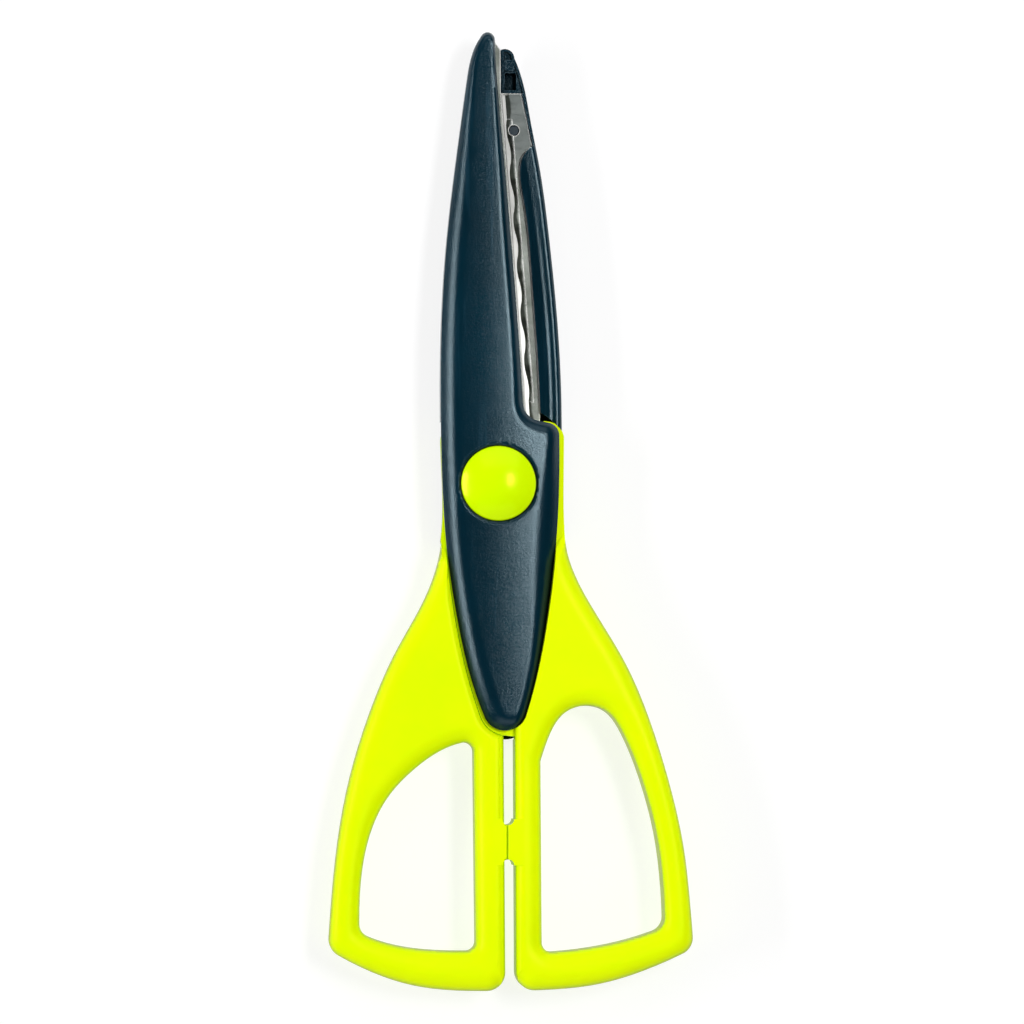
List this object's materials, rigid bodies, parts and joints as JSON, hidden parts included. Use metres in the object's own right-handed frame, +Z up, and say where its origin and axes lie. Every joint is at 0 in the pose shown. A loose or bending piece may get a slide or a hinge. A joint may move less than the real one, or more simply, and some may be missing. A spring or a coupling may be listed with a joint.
{
  "type": "decorative edge scissors",
  "caption": "Craft scissors that cut a waved paper edge: steel pattern blades in dark plastic shells, bright D-shaped finger loops and a domed pivot button.",
  "frame": {"origin": "pivot axis where it meets the plane that the closed scissors lie on", "axes": "+Z up along the pivot axis, away from the resting plane; +Y from the finger loops towards the blade tips; +X towards the front lever's loop"},
  "size_m": [0.0624, 0.1652, 0.013],
  "materials": {
    "neon_handle": "polished moulding, chartreuse",
    "neon_cap": "polished moulding, chartreuse",
    "navy_shell": "satin, finely grained",
    "navy_rivet": "satin",
    "blade_steel": "brushed, ground bevel",
    "pivot_steel": "zinc plated",
    "spring_steel": "plain",
    "white_nylon": "natural nylon"
  },
  "bodies": {
    "rear_lever": {"rear_handle": "neon_handle", "rear_shell": "navy_shell", "rear_blade": "blade_steel", "rear_blade_rivet": "navy_rivet", "rear_pivot_cap": "neon_cap"},
    "front_lever": {"front_handle": "neon_handle", "front_shell": "navy_shell", "front_blade": "blade_steel", "front_blade_rivet": "navy_rivet", "front_pivot_cap": "neon_cap", "pivot_bolt": "pivot_steel", "pivot_nut": "pivot_steel", "head_washer": "white_nylon", "wave_washer": "spring_steel"}
  },
  "joints": [
    {"name": "lever_pivot", "type": "hinge", "parent": "rear_lever", "child": "front_lever", "pos_m": [0, 0, 0.0056], "axis": [0, 0, 1], "range_deg": [0, 70]}
  ]
}
